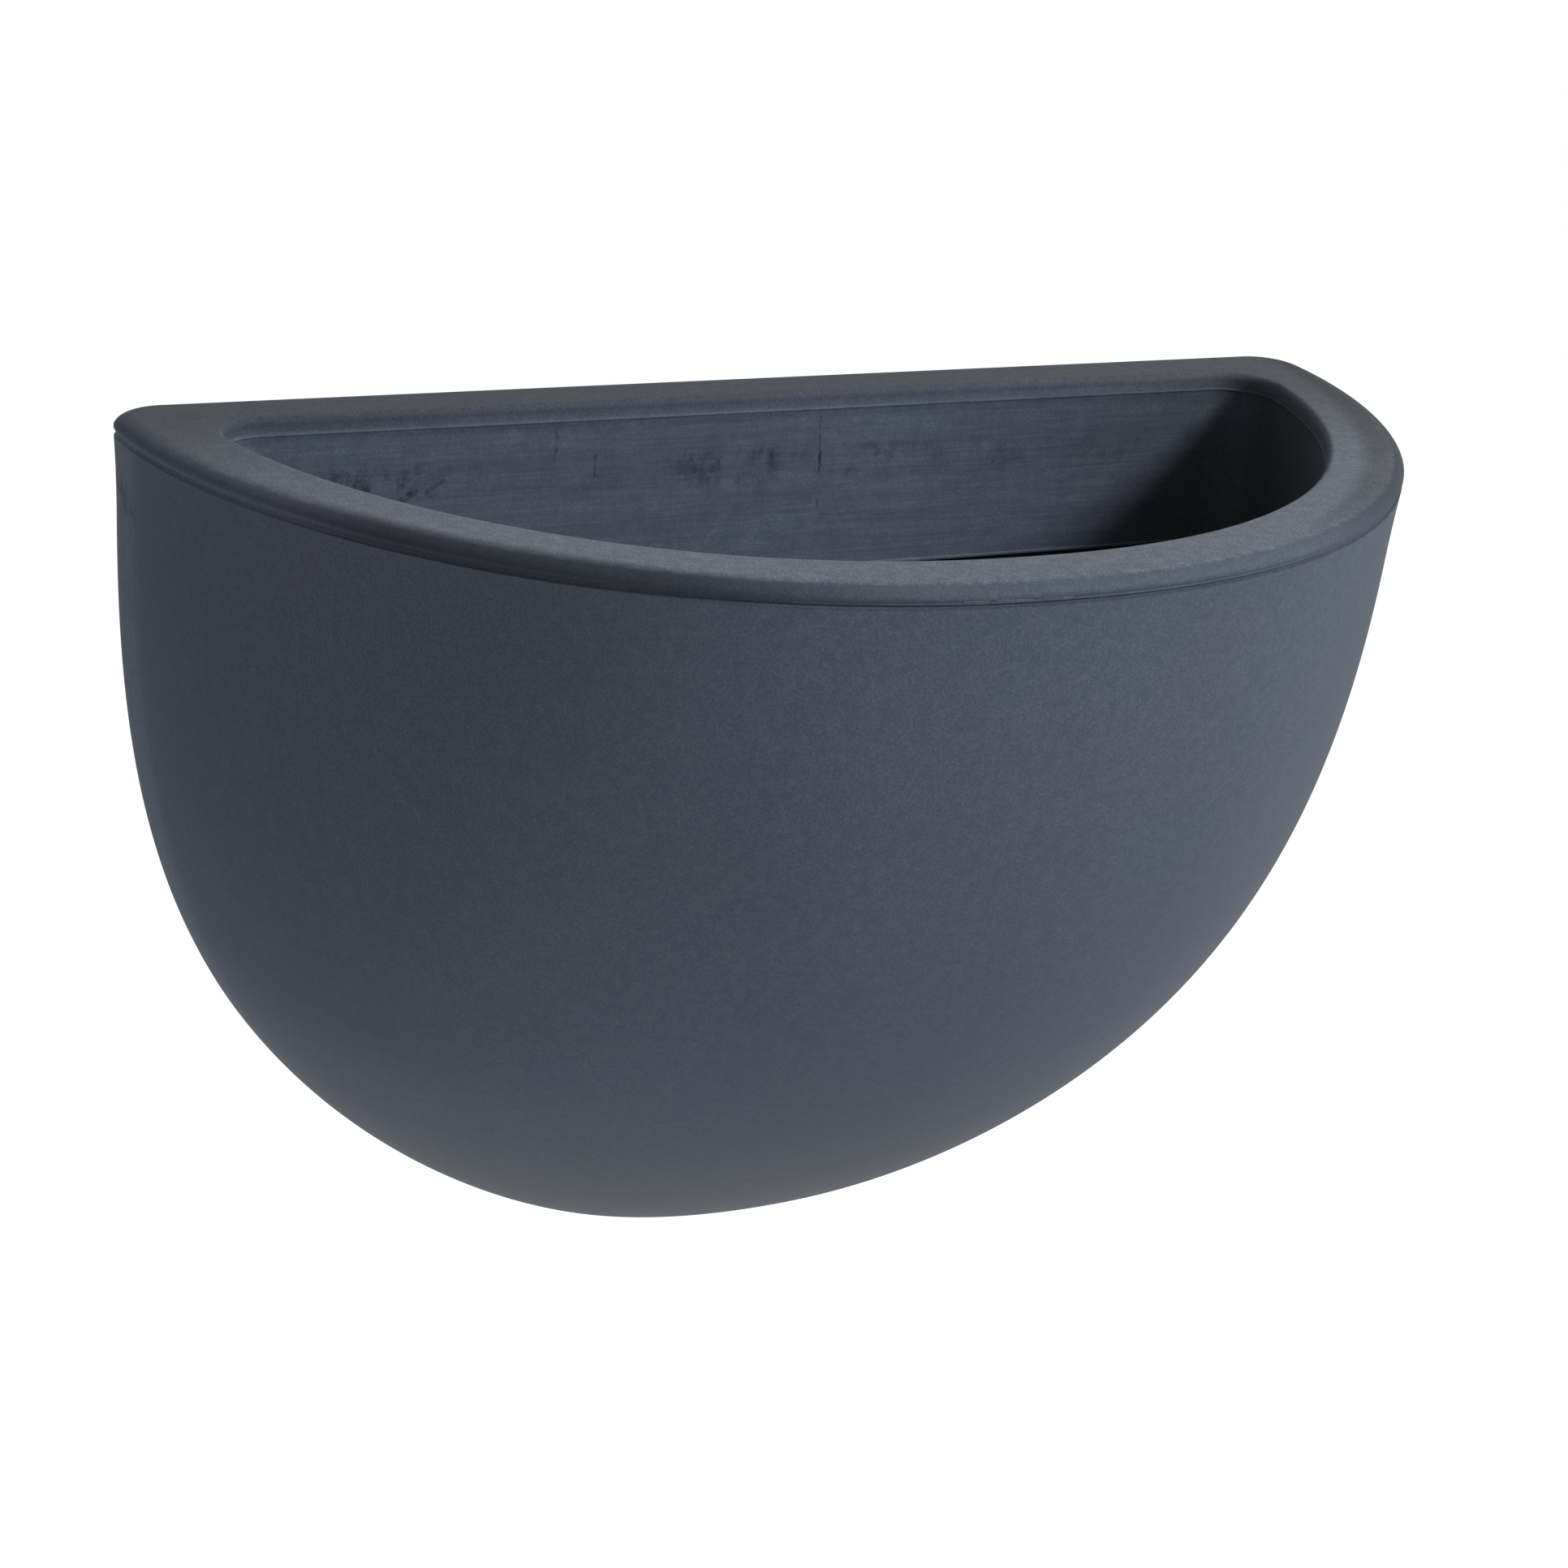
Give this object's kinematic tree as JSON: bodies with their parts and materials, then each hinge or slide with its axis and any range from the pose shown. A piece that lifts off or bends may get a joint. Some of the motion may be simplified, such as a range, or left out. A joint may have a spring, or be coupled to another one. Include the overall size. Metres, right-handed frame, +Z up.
{
  "type": "half-round wall planter",
  "caption": "Half-round hanging wall planter with a thick rolled rim and a flat back; it lifts off studs on a steel wall rail and drains through a push-in plug.",
  "frame": {"origin": "middle of the wall rail's screw holes, on the wall plane", "axes": "+X to the right as seen from the room, +Y into the wall, +Z up; the planter stands out along -Y"},
  "size_m": [0.503, 0.2565, 0.3479],
  "materials": {
    "moulded_slate": "fine-grained matt, slate grey",
    "galvanised": "zinc plated",
    "plug_rubber": "matt black"
  },
  "bodies": {
    "rail": {"wall_rail": "galvanised", "rail_studs": "galvanised"},
    "planter": {"planter_shell": "moulded_slate", "keyhole_plate_left": "galvanised", "keyhole_plate_right": "galvanised", "plate_rivets": "galvanised"},
    "plug": {"drain_plug": "plug_rubber"}
  },
  "joints": [
    {"name": "lift_off", "type": "slide", "parent": "rail", "child": "planter", "axis": [0, 0, 1], "range_m": [0, 0.014]},
    {"name": "drain_pull", "type": "slide", "parent": "planter", "child": "plug", "axis": [0, -0.2216, -0.9751], "range_m": [0, 0.016]}
  ]
}
